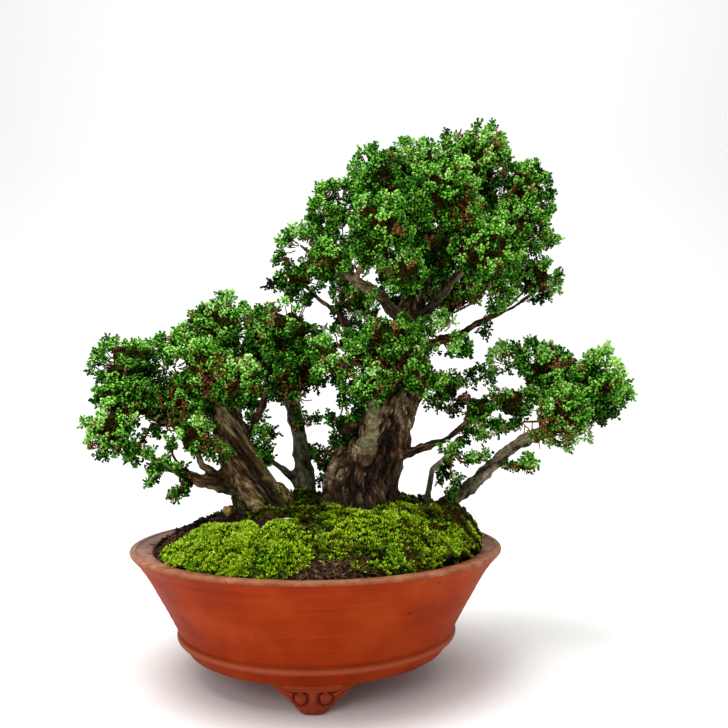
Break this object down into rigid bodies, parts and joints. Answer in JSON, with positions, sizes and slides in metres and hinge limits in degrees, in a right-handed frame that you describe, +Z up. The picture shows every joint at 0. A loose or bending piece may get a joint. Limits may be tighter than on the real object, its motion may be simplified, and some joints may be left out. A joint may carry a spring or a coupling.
{
  "type": "bonsai tree",
  "caption": "Hinoki cypress bonsai: rugged trunks with cloud-like pads of scale foliage over mossy soil, in a round unglazed red-clay pot with a wide flat rim on scroll feet.",
  "frame": {"origin": "on the ground under the middle of the whole object's box; the pot's axis stands 24 mm to the left of it, at x = -0.024", "axes": "+Z up, +X to the viewer's right when the front is faced, front at -Y; the crown reaches furthest along X"},
  "size_m": [0.3306, 0.22, 0.3281],
  "materials": {
    "clay": "unglazed, matte",
    "soil": "moist crumbs",
    "drain_screen": "matte",
    "moss": "soft, living",
    "moss_dark": "soft, living",
    "pebble": "worn smooth",
    "bark_brown": "rough bark",
    "bark_grey": "rough bark",
    "bark_dark": "deeply fissured bark",
    "bark_pale": "young bark with lichen",
    "leaf": "satin scale foliage",
    "leaf_bright": "satin scale foliage",
    "leaf_dark": "satin scale foliage"
  },
  "bodies": {
    "root": {"pot": "clay", "drain_screen": "drain_screen", "soil": "soil", "pebble": "pebble", "moss_front_left": "moss", "moss_front": "moss_dark", "moss_front_right": "moss", "moss_back": "moss_dark", "trunk_left": "bark_brown", "trunk_thin": "bark_grey", "trunk_main": "bark_dark", "twig_low": "bark_pale", "trunk_right": "bark_pale", "leaf_left_tip_low": "leaf_bright", "leaf_left_tip_high": "leaf", "leaf_left_crown": "leaf", "leaf_left_crown_right": "leaf", "leaf_left_front": "leaf_bright", "leaf_left_under": "leaf_dark", "leaf_left_low_front": "leaf_bright", "leaf_left_low": "leaf", "leaf_between_low": "leaf", "leaf_between_back": "leaf_dark", "leaf_between_mid": "leaf_dark", "leaf_left_back": "leaf", "leaf_left_back_right": "leaf_dark", "leaf_left_back_low": "leaf_dark", "leaf_mid_high": "leaf", "leaf_mid_low": "leaf_dark", "leaf_thin_side": "leaf_dark", "leaf_mid_back": "leaf_dark", "leaf_main_dark": "leaf_dark", "leaf_main_left": "leaf", "leaf_main_front": "leaf_bright", "leaf_stub": "leaf_bright", "leaf_main_right": "leaf_bright", "leaf_main_side": "leaf_dark", "leaf_main_back": "leaf", "leaf_main_back_left": "leaf_dark", "leaf_crown_far_left": "leaf", "leaf_crown_left": "leaf", "leaf_crown_front_left": "leaf_bright", "leaf_crown_top": "leaf_bright", "leaf_crown_right_high": "leaf", "leaf_crown_right": "leaf", "leaf_crown_front": "leaf_bright", "leaf_crown_inner": "leaf_dark", "leaf_crown_low_right": "leaf", "leaf_crown_branch": "leaf", "leaf_crown_back_left": "leaf", "leaf_crown_back": "leaf", "leaf_crown_back_right": "leaf", "leaf_crown_back_low": "leaf_dark", "leaf_crown_back_mid": "leaf_dark", "leaf_right_high": "leaf", "leaf_right_tip": "leaf_bright", "leaf_right_front": "leaf", "leaf_right_under": "leaf", "leaf_right_back": "leaf_dark", "leaf_low_spray": "leaf"}
  },
  "joints": []
}
